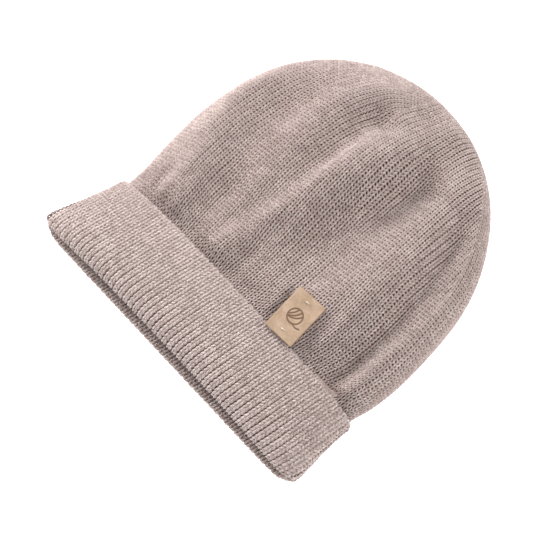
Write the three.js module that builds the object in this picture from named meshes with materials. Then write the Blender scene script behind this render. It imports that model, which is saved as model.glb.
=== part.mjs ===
// A small knitted hat lying on its back: a stocking-stitch crown, a ribbed cuff folded up
// around its mouth, and a leather label tacked over the cuff's top edge with two stitches.
// Millimetres, +Z up. The hat lies on Z = 0 with its mouth towards -Y and its crown towards +Y.

import * as THREE from "three";

// Driving sizes
const HAT_LENGTH = 212; // rim to the tip of the crown, cuff folded
const CROWN_WALL = 2.2; // stocking stitch, front to back loops
const RIB_WALL = 2.6; // one layer of the ribbed band
const LAYER_GAP = 0.4; // between the band's two layers
const CUFF_HEIGHT = 47.4; // the fold at the rim to the cast-on edge
const INNER_BAND_END = 39.6; // where the band ends inside and the crown begins
const SEAM_GAP = 0.4; // face to face, band to crown
const RIB_COUNT = 100;
const RIB_DEPTH = 0.9; // groove below the rib's crest
const RIB_LEAN = 0.009; // of a turn: how far the ribs slant sideways over the cuff's height
const FIRM_PRESS = 5; // how far the underside would sink if the floor did not flatten it

// Placing in the frame: the hat's box is centred on X = 0, Y = 0
const CENTRE_X = -7.18;
const CENTRE_Y = 105.32;

// Facets
const CROWN_COLUMNS = 84;
const CROWN_LOW_ROWS = 7; // from the band to where the crown starts to close
const CROWN_TIP_ROWS = 13; // from there to the tip
const CROWN_INNER_LOW_ROWS = 5;
const CROWN_INNER_TIP_ROWS = 7;
const SECTION_SAMPLES = 96; // steps that measure each half of a cross-section

// The hat's cross-sections, one row for each place along it.
// at: from the rim; middle: sideways shift; half: half width; top: height of the front wall;
// side: height of the widest place; lift: how far the back wall hangs clear of the floor.
const SECTIONS = [
  { at: 0, middle: -8.0, half: 98.5, top: 13.8, side: 9.0, lift: 3.0 },
  { at: 4, middle: -7.3, half: 98.0, top: 20.2, side: 10.0, lift: 3.0 },
  { at: 10, middle: -6.2, half: 96.8, top: 24.8, side: 11.0, lift: 3.0 },
  { at: 26, middle: -4.0, half: 93.6, top: 30.5, side: 12.5, lift: 3.0 },
  { at: 47, middle: -1.5, half: 91.0, top: 35.0, side: 14.0, lift: 3.0 },
  { at: 62, middle: 0.0, half: 92.5, top: 41.0, side: 15.5, lift: 0.6 },
  { at: 80, middle: -0.6, half: 94.2, top: 46.5, side: 17.0, lift: 0.0 },
  { at: 105, middle: -2.6, half: 94.5, top: 50.0, side: 18.0, lift: 0.0 },
  { at: 140, middle: -5.0, half: 94.5, top: 50.0, side: 18.0, lift: 0.0 },
  { at: 175, middle: -8.5, half: 94.5, top: 47.0, side: 17.0, lift: 0.0 },
  { at: 212, middle: -10.5, half: 95.0, top: 43.0, side: 16.0, lift: 0.0 },
];
const CLOSING_START = 92; // the crown narrows from here
const CLOSING_POWER = 2.4; // how square its shoulders are
const SIDE_FULLNESS = 0.86; // under 1 rounds the cross-section out towards its sides
const TOP_FULLNESS = 0.92;
const THINNING_POWER = 0.9; // how the crown's height falls as its width closes

// The rim is cut on a curve: it lies further back at the front wall and at the two sides.
const RIM_FRONT_SETBACK = 3.5;
const RIM_SIDE_SETBACK = 3.5;
const RIM_SIDE_POWER = 18;
const RIM_SLANT = 0.016;

const RIDGES_BEGIN = 8; // the folds' ridges grow over this distance above the cuff
const VALLEYS_BEGIN = 3; // and their valleys over this one
const FOLDS_TOP_SPREAD = 1.6; // how near the hat's sides the folds still reach
const FOLDS_TIP_END = 0.2; // share of the full width where the folds have died out
const FOLDS_TIP_SPAN = 0.4; // and over which they do

// Soft folds of the front wall, each along a line from (x0, y0) through (x1, y1) to (x2, y2),
// measured from the hat's middle and from the rim. height is up for a ridge, down for a valley;
// width is how far it spreads; fade is how softly it starts and ends.
const FOLDS = {
  leftRidge: { x0: -53, y0: 45, x1: -80, y1: 105, x2: -83, y2: 156, height: 6.6, width: 10.7, fade: 41 },
  leftValley: { x0: -42, y0: 73, x1: -55, y1: 113, x2: -54, y2: 154, height: -9.1, width: 10.3, fade: 36 },
  upperRidge: { x0: -53, y0: 52, x1: -53, y1: 125, x2: -28, y2: 192, height: 5.1, width: 12.6, fade: 23 },
  farValley: { x0: -19, y0: 97, x1: -19, y1: 138, x2: -19, y2: 175, height: -9, width: 8.8, fade: 19 },
  longRidge: { x0: -24, y0: 44, x1: -15, y1: 111, x2: -16, y2: 166, height: 8.3, width: 8.3, fade: 18 },
  deepValley: { x0: 18, y0: 74, x1: 26, y1: 132, x2: -10, y2: 208, height: -9.1, width: 15.4, fade: 37 },
  deepCrease: { x0: 8, y0: 89, x1: 14, y1: 129, x2: 18, y2: 166, height: -9.1, width: 11.5, fade: 31 },
  broadRidge: { x0: 43, y0: 73, x1: 37, y1: 136, x2: 43, y2: 204, height: 1.5, width: 7.1, fade: 18 },
  rightValley: { x0: 70, y0: 44, x1: 67, y1: 106, x2: 52, y2: 165, height: -9, width: 7.4, fade: 26 },
  rightRidge: { x0: 79, y0: 44, x1: 85, y1: 98, x2: 84, y2: 155, height: 8.3, width: 7.2, fade: 19 },
  leftPinch: { x0: -50, y0: 52, x1: -48, y1: 60, x2: -49, y2: 68, height: -2.5, width: 5.5, fade: 15 },
  middlePinch: { x0: -17, y0: 63, x1: -20, y1: 73, x2: -20, y2: 95, height: -8.5, width: 9.2, fade: 26 },
  tipRidge: { x0: -1, y0: 131, x1: 6, y1: 184, x2: 2, y2: 228, height: 9, width: 12.6, fade: 47 },
};

// Label and its stitches
const LABEL = {
  width: 18.5,
  length: 27,
  thickness: 1.3,
  corner: 0.8,
  x: 34.5,
  lowEnd: 45.7, // from the rim, just over the cuff's top edge
  turn: 0.07, // radians, anticlockwise from above
  clearance: 0.35,
  legClearance: 0.7, // the stitch legs end this far above the crown
  stitchInset: 4.2, // from each end
};
// bar: hole to hole; rise: how far the thread stands off the leather at its middle;
// bend: share of the bar that lies flat; shoulder: share of the leather where the leg is upright
const STITCH = {
  bar: 1.9,
  thread: 0.36,
  hole: 0.75,
  sides: 6,
  rise: 0.75,
  steps: 10,
  bend: 0.6,
  shoulder: 0.8,
};

// Colours as the eye sees them in soft daylight
const KNIT_COLOUR = 0xb9a49d;
const RIB_COLOUR = 0xb5a19a;
const LEATHER_COLOUR = 0xc3a688;
const THREAD_COLOUR = 0xe6dcc8;

function clamp01(value) {
  return Math.min(1, Math.max(0, value));
}

function smoothStep(value) {
  const t = clamp01(value);
  return t * t * (3 - 2 * t);
}

// A smooth curve through one column of the sections table
function sectionValue(column, at) {
  const last = SECTIONS.length - 2;
  let i = 0;
  while (i < last && at > SECTIONS[i + 1].at) {
    i += 1;
  }
  const low = SECTIONS[i];
  const high = SECTIONS[i + 1];
  const before = SECTIONS[Math.max(0, i - 1)];
  const after = SECTIONS[Math.min(SECTIONS.length - 1, i + 2)];
  const span = high.at - low.at;
  const slopeLow = ((high[column] - before[column]) / (high.at - before.at)) * span;
  const slopeHigh = ((after[column] - low[column]) / (after.at - low.at)) * span;
  const t = clamp01((at - low.at) / span);
  const t2 = t * t;
  const t3 = t2 * t;
  return (
    low[column] * (2 * t3 - 3 * t2 + 1) +
    slopeLow * (t3 - 2 * t2 + t) +
    high[column] * (3 * t2 - 2 * t3) +
    slopeHigh * (t3 - t2)
  );
}

// How much of the full width is left at a place along the hat: 1 up to the shoulders, 0 at the tip
function closing(at) {
  const t = clamp01((at - CLOSING_START) / (HAT_LENGTH - CLOSING_START));
  return Math.sqrt(Math.max(0, 1 - t ** CLOSING_POWER));
}

function signedPower(value, power) {
  return Math.sign(value) * Math.abs(value) ** power;
}

// One cross-section's point at an angle: 0 at the right side, a quarter turn at the front's top
function sectionPoint(section, angle) {
  const c = Math.cos(angle);
  const s = Math.sin(angle);
  const x = section.middle + section.half * signedPower(c, SIDE_FULLNESS);
  if (s >= 0) {
    return [x, section.side + section.rise * s ** TOP_FULLNESS];
  }
  const sunk = section.side + section.sink * signedPower(s, TOP_FULLNESS);
  return [x, Math.max(section.floor, sunk)];
}

// The cross-section at a place along the hat, with a table that spreads columns evenly round it
function makeSection(at) {
  const left = closing(at);
  const section = {
    middle: sectionValue("middle", at),
    half: sectionValue("half", at) * left,
    side: sectionValue("side", at),
    floor: sectionValue("lift", at) * left,
  };
  section.rise = (sectionValue("top", at) - section.side) * left ** THINNING_POWER;
  section.sink = (section.side + FIRM_PRESS) * left ** THINNING_POWER;
  section.travel = [0, 1].map((half) => {
    const lengths = [0];
    let previous = sectionPoint(section, half * Math.PI);
    for (let i = 1; i <= SECTION_SAMPLES; i += 1) {
      const point = sectionPoint(section, (half + i / SECTION_SAMPLES) * Math.PI);
      lengths.push(lengths[i - 1] + Math.hypot(point[0] - previous[0], point[1] - previous[1]));
      previous = point;
    }
    return lengths;
  });
  return section;
}

// around runs 0 to 1: the front wall from its right side to its left, then the back wall
function angleAt(section, around) {
  const turn = around - Math.floor(around);
  const half = turn < 0.5 ? 0 : 1;
  const lengths = section.travel[half];
  const wanted = (turn * 2 - half) * lengths[SECTION_SAMPLES];
  let i = 1;
  while (i < SECTION_SAMPLES && lengths[i] < wanted) {
    i += 1;
  }
  const step = lengths[i] - lengths[i - 1];
  const part = step > 0 ? (wanted - lengths[i - 1]) / step : 0;
  return (half + (i - 1 + part) / SECTION_SAMPLES) * Math.PI;
}

function foldLineX(fold, y) {
  const t = clamp01((y - fold.y0) / (fold.y2 - fold.y0));
  const bend = (fold.y1 - fold.y0) / (fold.y2 - fold.y0);
  const straight = fold.x0 + (fold.x2 - fold.x0) * t;
  const sag = fold.x1 - (fold.x0 + (fold.x2 - fold.x0) * bend);
  return straight + (sag * t * (1 - t)) / (bend * (1 - bend));
}

// How far the folds lift or lower the front wall at a place
function foldHeight(x, y) {
  let height = 0;
  for (const fold of Object.values(FOLDS)) {
    const begins = smoothStep((y - fold.y0 + fold.fade / 2) / fold.fade);
    const ends = smoothStep((fold.y2 + fold.fade / 2 - y) / fold.fade);
    const reach = fold.height > 0 ? RIDGES_BEGIN : VALLEYS_BEGIN;
    const clearOfCuff = smoothStep((y - CUFF_HEIGHT) / reach);
    const away = (x - foldLineX(fold, y)) / fold.width;
    height += fold.height * clearOfCuff * begins * ends * Math.exp(-away * away);
  }
  return height;
}

const sectionsMade = new Map();

function sectionAt(at) {
  if (!sectionsMade.has(at)) {
    sectionsMade.set(at, makeSection(at));
  }
  return sectionsMade.get(at);
}

// A point of the hat's outer face, under the cuff's turned-up layer where that covers it
function hatPoint(around, at) {
  const section = sectionAt(at);
  const angle = angleAt(section, around);
  const [x, z] = sectionPoint(section, angle);
  const front = Math.max(0, Math.sin(angle));
  const side = Math.abs(Math.cos(angle)) ** RIM_SIDE_POWER;
  const nearRim = 1 - smoothStep(at / CUFF_HEIGHT);
  const setback = (RIM_FRONT_SETBACK * front + RIM_SIDE_SETBACK * side + RIM_SLANT * x) * nearRim;
  const onTop = smoothStep(front * FOLDS_TOP_SPREAD);
  const clearOfTip = smoothStep((closing(at) - FOLDS_TIP_END) / FOLDS_TIP_SPAN);
  const folded = onTop * clearOfTip * foldHeight(x, at);
  return new THREE.Vector3(x, at + setback, z + folded);
}

// Steps that measure the face's slope, and how far short of the tip they stay
const STEP_AROUND = 0.0015;
const STEP_ALONG = 0.4;
const TIP_MARGIN = 0.05;

function hatNormal(around, at) {
  const low = Math.max(0, at - STEP_ALONG);
  const high = Math.min(HAT_LENGTH - TIP_MARGIN, at + STEP_ALONG);
  const along = hatPoint(around, high).sub(hatPoint(around, low));
  const across = hatPoint(around + STEP_AROUND, at).sub(hatPoint(around - STEP_AROUND, at));
  return along.cross(across).normalize();
}

// A point off the hat's outer face, never below the floor, moved into the frame
function offFace(around, at, offset) {
  const point = hatPoint(around, at).addScaledVector(hatNormal(around, at), offset);
  point.z = Math.max(0, point.z);
  point.x -= CENTRE_X;
  point.y -= CENTRE_Y;
  return point;
}

// A closed surface over rings of points. Each end is a single point, or the rings join round.
function geometryFromRings(rings, firstPole, lastPole) {
  const positions = [];
  const faces = [];
  const count = rings[0].length;
  for (const ring of rings) {
    for (const point of ring) {
      positions.push(point.x, point.y, point.z);
    }
  }
  const joins = firstPole ? rings.length - 1 : rings.length;
  for (let r = 0; r < joins; r += 1) {
    const here = r * count;
    const there = ((r + 1) % rings.length) * count;
    for (let c = 0; c < count; c += 1) {
      const next = (c + 1) % count;
      faces.push(here + c, here + next, there + next);
      faces.push(here + c, there + next, there + c);
    }
  }
  if (firstPole) {
    const first = positions.length / 3;
    positions.push(firstPole.x, firstPole.y, firstPole.z);
    positions.push(lastPole.x, lastPole.y, lastPole.z);
    const lastRing = (rings.length - 1) * count;
    for (let c = 0; c < count; c += 1) {
      const next = (c + 1) % count;
      faces.push(first, next, c);
      faces.push(first + 1, lastRing + c, lastRing + next);
    }
  }
  const geometry = new THREE.BufferGeometry();
  geometry.setAttribute("position", new THREE.Float32BufferAttribute(positions, 3));
  geometry.setIndex(faces);
  geometry.computeVertexNormals();
  return geometry;
}

function namedMesh(name, geometry, colour, roughness) {
  const material = new THREE.MeshStandardMaterial({ color: colour, roughness, metalness: 0 });
  const mesh = new THREE.Mesh(geometry, material);
  mesh.name = name;
  return mesh;
}

// Places along the crown from its open edge to just short of the tip
function crownPlaces(lowRows, tipRows) {
  const start = INNER_BAND_END + SEAM_GAP;
  const places = [];
  for (let i = 0; i < lowRows; i += 1) {
    places.push(start + ((CLOSING_START - start) * i) / lowRows);
  }
  for (let i = 0; i < tipRows; i += 1) {
    const turn = ((Math.PI / 2) * i) / tipRows;
    const t = Math.sin(turn) ** (2 / CLOSING_POWER);
    places.push(CLOSING_START + (HAT_LENGTH - CLOSING_START) * t);
  }
  return places;
}

function ringAt(columns, at, offset) {
  const ring = [];
  for (let c = 0; c < columns; c += 1) {
    ring.push(offFace(c / columns, at, offset));
  }
  return ring;
}

function tipPoint(inset) {
  const section = sectionAt(HAT_LENGTH);
  const x = section.middle - CENTRE_X;
  return new THREE.Vector3(x, HAT_LENGTH - inset - CENTRE_Y, section.side);
}

function crownMesh() {
  const outer = crownPlaces(CROWN_LOW_ROWS, CROWN_TIP_ROWS).reverse();
  const inner = crownPlaces(CROWN_INNER_LOW_ROWS, CROWN_INNER_TIP_ROWS);
  const rings = outer.map((at) => ringAt(CROWN_COLUMNS, at, 0));
  for (const at of inner) {
    rings.push(ringAt(CROWN_COLUMNS, at, -CROWN_WALL));
  }
  const geometry = geometryFromRings(rings, tipPoint(0), tipPoint(CROWN_WALL));
  return namedMesh("crown", geometry, KNIT_COLOUR, 0.95);
}

// The folded band's section: how far off the hat's face, how far from the rim, ribbed or not
const BAND_PROFILE = [
  { off: LAYER_GAP + RIB_WALL * 0.75, at: CUFF_HEIGHT, ribbed: 0.6 },
  { off: LAYER_GAP + RIB_WALL, at: CUFF_HEIGHT - 1.6, ribbed: 1 },
  { off: LAYER_GAP + RIB_WALL, at: 26, ribbed: 1 },
  { off: LAYER_GAP + RIB_WALL, at: 10, ribbed: 1 },
  { off: LAYER_GAP + RIB_WALL * 0.92, at: 4.2, ribbed: 1 },
  { off: LAYER_GAP + RIB_WALL * 0.62, at: 1.2, ribbed: 0.9 },
  { off: LAYER_GAP, at: 0, ribbed: 0.8 },
  { off: -RIB_WALL * 0.9, at: 1.6, ribbed: 0.6 },
  { off: -RIB_WALL, at: 8, ribbed: 0 },
  { off: -RIB_WALL, at: INNER_BAND_END, ribbed: 0 },
  { off: 0, at: INNER_BAND_END, ribbed: 0 },
  { off: 0, at: 7, ribbed: 0 },
  { off: LAYER_GAP, at: 7, ribbed: 0 },
  { off: LAYER_GAP, at: 26, ribbed: 0 },
  { off: LAYER_GAP, at: CUFF_HEIGHT - 0.2, ribbed: 0 },
];

// The ribs slant one way on the outer layer and, past the fold, the other way on the inner one
function cuffMesh() {
  const columns = RIB_COUNT * 2;
  const rings = BAND_PROFILE.map((place) => {
    const ring = [];
    const slant = (place.off > 0 ? -RIB_LEAN : RIB_LEAN) * (place.at / CUFF_HEIGHT);
    for (let c = 0; c < columns; c += 1) {
      const groove = c % 2 === 1 ? RIB_DEPTH * place.ribbed : 0;
      ring.push(offFace(c / columns + slant, place.at, place.off - groove));
    }
    return ring;
  });
  return namedMesh("cuff", geometryFromRings(rings), RIB_COLOUR, 0.95);
}

const FRONT_SAMPLES = 400; // places tried across the front wall to find a height
const CUFF_MARGIN = 0.3; // past the cast-on edge, still counted as on the cuff
const FACET_MARGIN = 0.1; // a facet's edge stands this far off the smooth face

// Height of the hat's front at a place in plan, with the cuff's outer layer where that is on top
function frontHeight(x, y) {
  const onCuff = y <= CUFF_HEIGHT + CUFF_MARGIN;
  let best = 0;
  let nearest = Infinity;
  for (let i = 1; i < FRONT_SAMPLES; i += 1) {
    const point = hatPoint((i / FRONT_SAMPLES) * 0.5, y);
    const away = Math.abs(point.x - x);
    if (away < nearest) {
      nearest = away;
      best = point.z;
    }
  }
  return onCuff ? best + LAYER_GAP + RIB_WALL + FACET_MARGIN : best;
}

const LABEL_ROWS = 9; // places under the label where the hat's height is taken
const LABEL_COLUMNS = 5;
const LABEL_END_SHARE = 0.4; // past this share of its size from the middle, a place is at an end

// The label lies like a stiff plate on the cuff's top edge and on the crown behind it
function labelPlane() {
  const cos = Math.cos(LABEL.turn);
  const sin = Math.sin(LABEL.turn);
  const middleY = LABEL.lowEnd + LABEL.length / 2;
  const samples = [];
  for (let r = 0; r <= LABEL_ROWS; r += 1) {
    for (let c = 0; c <= LABEL_COLUMNS; c += 1) {
      const across = LABEL.width * (c / LABEL_COLUMNS - 0.5);
      const along = LABEL.length * (r / LABEL_ROWS - 0.5);
      const x = LABEL.x + across * cos - along * sin;
      const y = middleY + across * sin + along * cos;
      samples.push({ across, along, z: frontHeight(x, y) });
    }
  }
  const mean = (list) => list.reduce((sum, s) => sum + s.z, 0) / list.length;
  const rise = (key, size) => {
    const high = samples.filter((s) => s[key] > size * LABEL_END_SHARE);
    const low = samples.filter((s) => s[key] < -size * LABEL_END_SHARE);
    return (mean(high) - mean(low)) / size;
  };
  const slopeAcross = rise("across", LABEL.width);
  const slopeAlong = rise("along", LABEL.length);
  let height = -Infinity;
  for (const s of samples) {
    height = Math.max(height, s.z - slopeAcross * s.across - slopeAlong * s.along);
  }
  const across = new THREE.Vector3(cos, sin, slopeAcross).normalize();
  const along = new THREE.Vector3(-sin, cos, slopeAlong).normalize();
  const normal = across.clone().cross(along).normalize();
  const origin = new THREE.Vector3(LABEL.x - CENTRE_X, middleY - CENTRE_Y, height);
  origin.addScaledVector(normal, LABEL.clearance);
  const placing = new THREE.Matrix4().makeBasis(along.clone().cross(normal), along, normal);
  placing.setPosition(origin);
  return placing;
}

// Each stitch crosses the label and goes down through two small holes
function stitchPlaces() {
  const reach = LABEL.length / 2 - LABEL.stitchInset;
  return [
    { name: "label_stitch_upper", y: reach },
    { name: "label_stitch_lower", y: -reach },
  ];
}

function roundedLabelShape() {
  const w = LABEL.width / 2;
  const l = LABEL.length / 2;
  const r = LABEL.corner;
  const shape = new THREE.Shape();
  shape.moveTo(-w + r, -l);
  shape.lineTo(w - r, -l);
  shape.absarc(w - r, -l + r, r, -Math.PI / 2, 0, false);
  shape.lineTo(w, l - r);
  shape.absarc(w - r, l - r, r, 0, Math.PI / 2, false);
  shape.lineTo(-w + r, l);
  shape.absarc(-w + r, l - r, r, Math.PI / 2, Math.PI, false);
  shape.lineTo(-w, -l + r);
  shape.absarc(-w + r, -l + r, r, Math.PI, Math.PI * 1.5, false);
  for (const place of stitchPlaces()) {
    for (const side of [-1, 1]) {
      const hole = new THREE.Path();
      hole.absarc((side * STITCH.bar) / 2, place.y, STITCH.hole, 0, Math.PI * 2, true);
      shape.holes.push(hole);
    }
  }
  return shape;
}

function labelMesh(placing) {
  const geometry = new THREE.ExtrudeGeometry(roundedLabelShape(), {
    depth: LABEL.thickness,
    bevelEnabled: false,
    curveSegments: 4,
  });
  const mesh = namedMesh("label", geometry, LEATHER_COLOUR, 0.6);
  mesh.applyMatrix4(placing);
  return mesh;
}

// How far the hat's face lies under the label's underside at a place on the label
function depthBelow(placing, x, y) {
  const point = new THREE.Vector3(x, y, 0).applyMatrix4(placing);
  const down = new THREE.Vector3().setFromMatrixColumn(placing, 2);
  const face = frontHeight(point.x + CENTRE_X, point.y + CENTRE_Y);
  return (point.z - face) / down.z;
}

function stitchMesh(place, placing) {
  const half = STITCH.bar / 2;
  const over = LABEL.thickness + STITCH.rise;
  const left = -depthBelow(placing, -half, place.y) + LABEL.legClearance;
  const right = -depthBelow(placing, half, place.y) + LABEL.legClearance;
  const path = new THREE.CatmullRomCurve3(
    [
      new THREE.Vector3(-half, place.y, left),
      new THREE.Vector3(-half, place.y, LABEL.thickness * STITCH.shoulder),
      new THREE.Vector3(-half * STITCH.bend, place.y, over),
      new THREE.Vector3(half * STITCH.bend, place.y, over),
      new THREE.Vector3(half, place.y, LABEL.thickness * STITCH.shoulder),
      new THREE.Vector3(half, place.y, right),
    ],
    false,
    "centripetal",
  );
  const section = new THREE.Shape();
  section.absarc(0, 0, STITCH.thread, 0, Math.PI * 2, false);
  const geometry = new THREE.ExtrudeGeometry(section, {
    steps: STITCH.steps,
    extrudePath: path,
    curveSegments: STITCH.sides / 2,
  });
  const mesh = namedMesh(place.name, geometry, THREAD_COLOUR, 0.8);
  mesh.applyMatrix4(placing);
  return mesh;
}

const group = new THREE.Group();
group.name = "knit_hat";
group.add(crownMesh());
group.add(cuffMesh());
const labelPlacing = labelPlane();
group.add(labelMesh(labelPlacing));
for (const place of stitchPlaces()) {
  group.add(stitchMesh(place, labelPlacing));
}

export default group;
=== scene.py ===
"""A small knitted hat lying on its back: stocking-stitch crown in four shaped panels, ribbed
turn-up cuff, leather tag and its two stitches. Every knit stitch is a pair of yarn legs."""

import math

import bpy
import numpy as np
from mathutils import Matrix, Vector


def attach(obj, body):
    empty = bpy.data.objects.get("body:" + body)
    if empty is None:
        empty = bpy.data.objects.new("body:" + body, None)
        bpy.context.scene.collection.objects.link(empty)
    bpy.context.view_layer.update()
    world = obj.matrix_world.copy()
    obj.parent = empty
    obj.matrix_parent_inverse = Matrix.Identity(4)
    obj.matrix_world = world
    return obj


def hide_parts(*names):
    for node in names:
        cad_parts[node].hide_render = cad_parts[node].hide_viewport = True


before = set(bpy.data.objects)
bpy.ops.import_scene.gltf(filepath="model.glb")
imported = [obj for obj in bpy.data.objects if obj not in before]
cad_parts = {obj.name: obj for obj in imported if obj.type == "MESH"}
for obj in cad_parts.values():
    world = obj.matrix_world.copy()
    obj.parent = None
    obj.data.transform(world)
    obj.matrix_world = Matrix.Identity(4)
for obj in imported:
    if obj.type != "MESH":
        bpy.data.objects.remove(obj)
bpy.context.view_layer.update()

MM = 0.001

# The hat's form, as its solids have it, in millimetres

HAT_LENGTH = 212.0
RIB_WALL = 2.6
LAYER_GAP = 0.4
CUFF_HEIGHT = 47.4
INNER_BAND_END = 39.6
SEAM_GAP = 0.4
RIB_COUNT = 100
FIRM_PRESS = 5.0
CENTRE_X = -7.18
CENTRE_Y = 105.32
# Where half a section is sampled: evenly, and closer together to either side of its middle, where
# its points run faster
EVEN_SHARES = 97
MIDDLE_SHARES = (0.0003, 0.001, 0.0025, 0.0055)
SECTION_SHARES = np.sort(
    np.append(np.linspace(0, 1, EVEN_SHARES), 0.5 + np.outer((-1, 1), MIDDLE_SHARES))
)
TINY = 1e-12

# at: from the rim; middle: sideways shift; half: half width; top: height of the front wall;
# side: height of the widest place; lift: how far the back wall hangs clear of the floor
SECTIONS = np.array(
    [
        (0, -8.0, 98.5, 13.8, 9.0, 3.0),
        (4, -7.3, 98.0, 20.2, 10.0, 3.0),
        (10, -6.2, 96.8, 24.8, 11.0, 3.0),
        (26, -4.0, 93.6, 30.5, 12.5, 3.0),
        (47, -1.5, 91.0, 35.0, 14.0, 3.0),
        (62, 0.0, 92.5, 41.0, 15.5, 0.6),
        (80, -0.6, 94.2, 46.5, 17.0, 0.0),
        (105, -2.6, 94.5, 50.0, 18.0, 0.0),
        (140, -5.0, 94.5, 50.0, 18.0, 0.0),
        (175, -8.5, 94.5, 47.0, 17.0, 0.0),
        (212, -10.5, 95.0, 43.0, 16.0, 0.0),
    ]
)
AT, MIDDLE, HALF, TOP, SIDE, LIFT = range(6)
CLOSING_START = 92.0
CLOSING_POWER = 2.4
HEIGHT_CLOSING = 0.9  # how fast the heights close in beside the widths
SIDE_FULLNESS = 0.86
TOP_FULLNESS = 0.92
RIM_FRONT_SETBACK = 3.5
RIM_SIDE_SETBACK = 3.5
RIM_SIDE_POWER = 18
RIM_SLANT = 0.016
RIDGES_BEGIN, VALLEYS_BEGIN = 8.0, 3.0  # the folds grow over this height above the cuff
FRONT_GAIN = 1.6  # how soon the folds reach their full height, going up from the sides
TIP_CALM, TIP_CALM_REACH = 0.2, 0.4  # the folds fade out where the width closes in to this share
RIB_LEAN = 0.009  # of a turn, over the cuff's height

# Soft folds of the front wall, each along a curve from (x0, y0) through (x1, y1) to (x2, y2):
# x0, y0, x1, y1, x2, y2, height, width, fade
FOLDS = {
    "left ridge": (-53, 45, -80, 105, -83, 156, 6.6, 10.7, 41),
    "left valley": (-42, 73, -55, 113, -54, 154, -9.1, 10.3, 36),
    "upper ridge": (-53, 52, -53, 125, -28, 192, 5.1, 12.6, 23),
    "far valley": (-19, 97, -19, 138, -19, 175, -9, 8.8, 19),
    "long ridge": (-24, 44, -15, 111, -16, 166, 8.3, 8.3, 18),
    "deep valley": (18, 74, 26, 132, -10, 208, -9.1, 15.4, 37),
    "deep crease": (8, 89, 14, 129, 18, 166, -9.1, 11.5, 31),
    "broad ridge": (43, 73, 37, 136, 43, 204, 1.5, 7.1, 18),
    "right valley": (70, 44, 67, 106, 52, 165, -9, 7.4, 26),
    "right ridge": (79, 44, 85, 98, 84, 155, 8.3, 7.2, 19),
    "left pinch": (-50, 52, -48, 60, -49, 68, -2.5, 5.5, 15),
    "middle pinch": (-17, 63, -20, 73, -20, 95, -8.5, 9.2, 26),
    "tip ridge": (-1, 131, 6, 184, 2, 228, 9, 12.6, 47),
}


def smooth_step(value):
    t = np.clip(value, 0, 1)
    return t * t * (3 - 2 * t)


def section_value(column, at):
    """A smooth curve through one column of the sections table."""
    places = SECTIONS[:, AT]
    values = SECTIONS[:, column]
    i = np.clip(np.searchsorted(places, at, side="left") - 1, 0, len(places) - 2)
    before = np.maximum(i - 1, 0)
    after = np.minimum(i + 2, len(places) - 1)
    span = places[i + 1] - places[i]
    slope_low = (values[i + 1] - values[before]) / (places[i + 1] - places[before]) * span
    slope_high = (values[after] - values[i]) / (places[after] - places[i]) * span
    t = np.clip((at - places[i]) / span, 0, 1)
    t2, t3 = t * t, t * t * t
    return (
        values[i] * (2 * t3 - 3 * t2 + 1)
        + slope_low * (t3 - 2 * t2 + t)
        + values[i + 1] * (3 * t2 - 2 * t3)
        + slope_high * (t3 - t2)
    )


def closing(at):
    t = np.clip((at - CLOSING_START) / (HAT_LENGTH - CLOSING_START), 0, 1)
    return np.sqrt(np.maximum(0, 1 - t**CLOSING_POWER))


def signed_power(value, power):
    return np.sign(value) * np.abs(value) ** power


def section_point(angle, parts):
    """x and height of cross-section points; parts holds one column for each section."""
    middle, half, side, floor, rise, sink = parts
    c, s = np.cos(angle), np.sin(angle)
    x = middle + half * signed_power(c, SIDE_FULLNESS)
    bulge = signed_power(s, TOP_FULLNESS)
    z = np.where(s >= 0, side + rise * bulge, np.maximum(floor, side + sink * bulge))
    return x, z


def section_parts(at):
    left = closing(at)
    side = section_value(SIDE, at)
    return (
        section_value(MIDDLE, at),
        section_value(HALF, at) * left,
        side,
        section_value(LIFT, at) * left,
        (section_value(TOP, at) - side) * left**HEIGHT_CLOSING,
        (side + FIRM_PRESS) * left**HEIGHT_CLOSING,
    )


def half_lengths(at, half):
    """Running length round one half of each section, a row of samples for each place."""
    parts = [p[:, None] for p in section_parts(at)]
    angle = (half[:, None] + SECTION_SHARES[None, :]) * np.pi
    x, z = section_point(angle, parts)
    steps = np.hypot(np.diff(x, axis=1), np.diff(z, axis=1))
    return np.concatenate([np.zeros((len(at), 1)), np.cumsum(steps, axis=1)], axis=1)


def angle_at(around, at):
    turn = around - np.floor(around)
    half = (turn >= 0.5).astype(float)
    lengths = half_lengths(at, half)
    wanted = (turn * 2 - half) * lengths[:, -1]
    i = np.clip((lengths < wanted[:, None]).sum(axis=1), 1, len(SECTION_SHARES) - 1)
    rows = np.arange(len(at))
    low, high = lengths[rows, i - 1], lengths[rows, i]
    part = np.where(high > low, (wanted - low) / np.maximum(high - low, TINY), 0)
    share = SECTION_SHARES[i - 1] + part * (SECTION_SHARES[i] - SECTION_SHARES[i - 1])
    return (half + share) * np.pi


def fold_height(x, y):
    """How far the folds lift or lower the front wall."""
    height = np.zeros_like(x)
    for x0, y0, x1, y1, x2, y2, tall, width, fade in FOLDS.values():
        t = np.clip((y - y0) / (y2 - y0), 0, 1)
        bend = (y1 - y0) / (y2 - y0)
        sag = x1 - (x0 + (x2 - x0) * bend)
        line = x0 + (x2 - x0) * t + sag * t * (1 - t) / (bend * (1 - bend))
        begins = smooth_step((y - y0 + fade / 2) / fade)
        ends = smooth_step((y2 + fade / 2 - y) / fade)
        reach = RIDGES_BEGIN if tall > 0 else VALLEYS_BEGIN
        begins = begins * smooth_step((y - CUFF_HEIGHT) / reach)
        height += tall * begins * ends * np.exp(-(((x - line) / width) ** 2))
    return height


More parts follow.
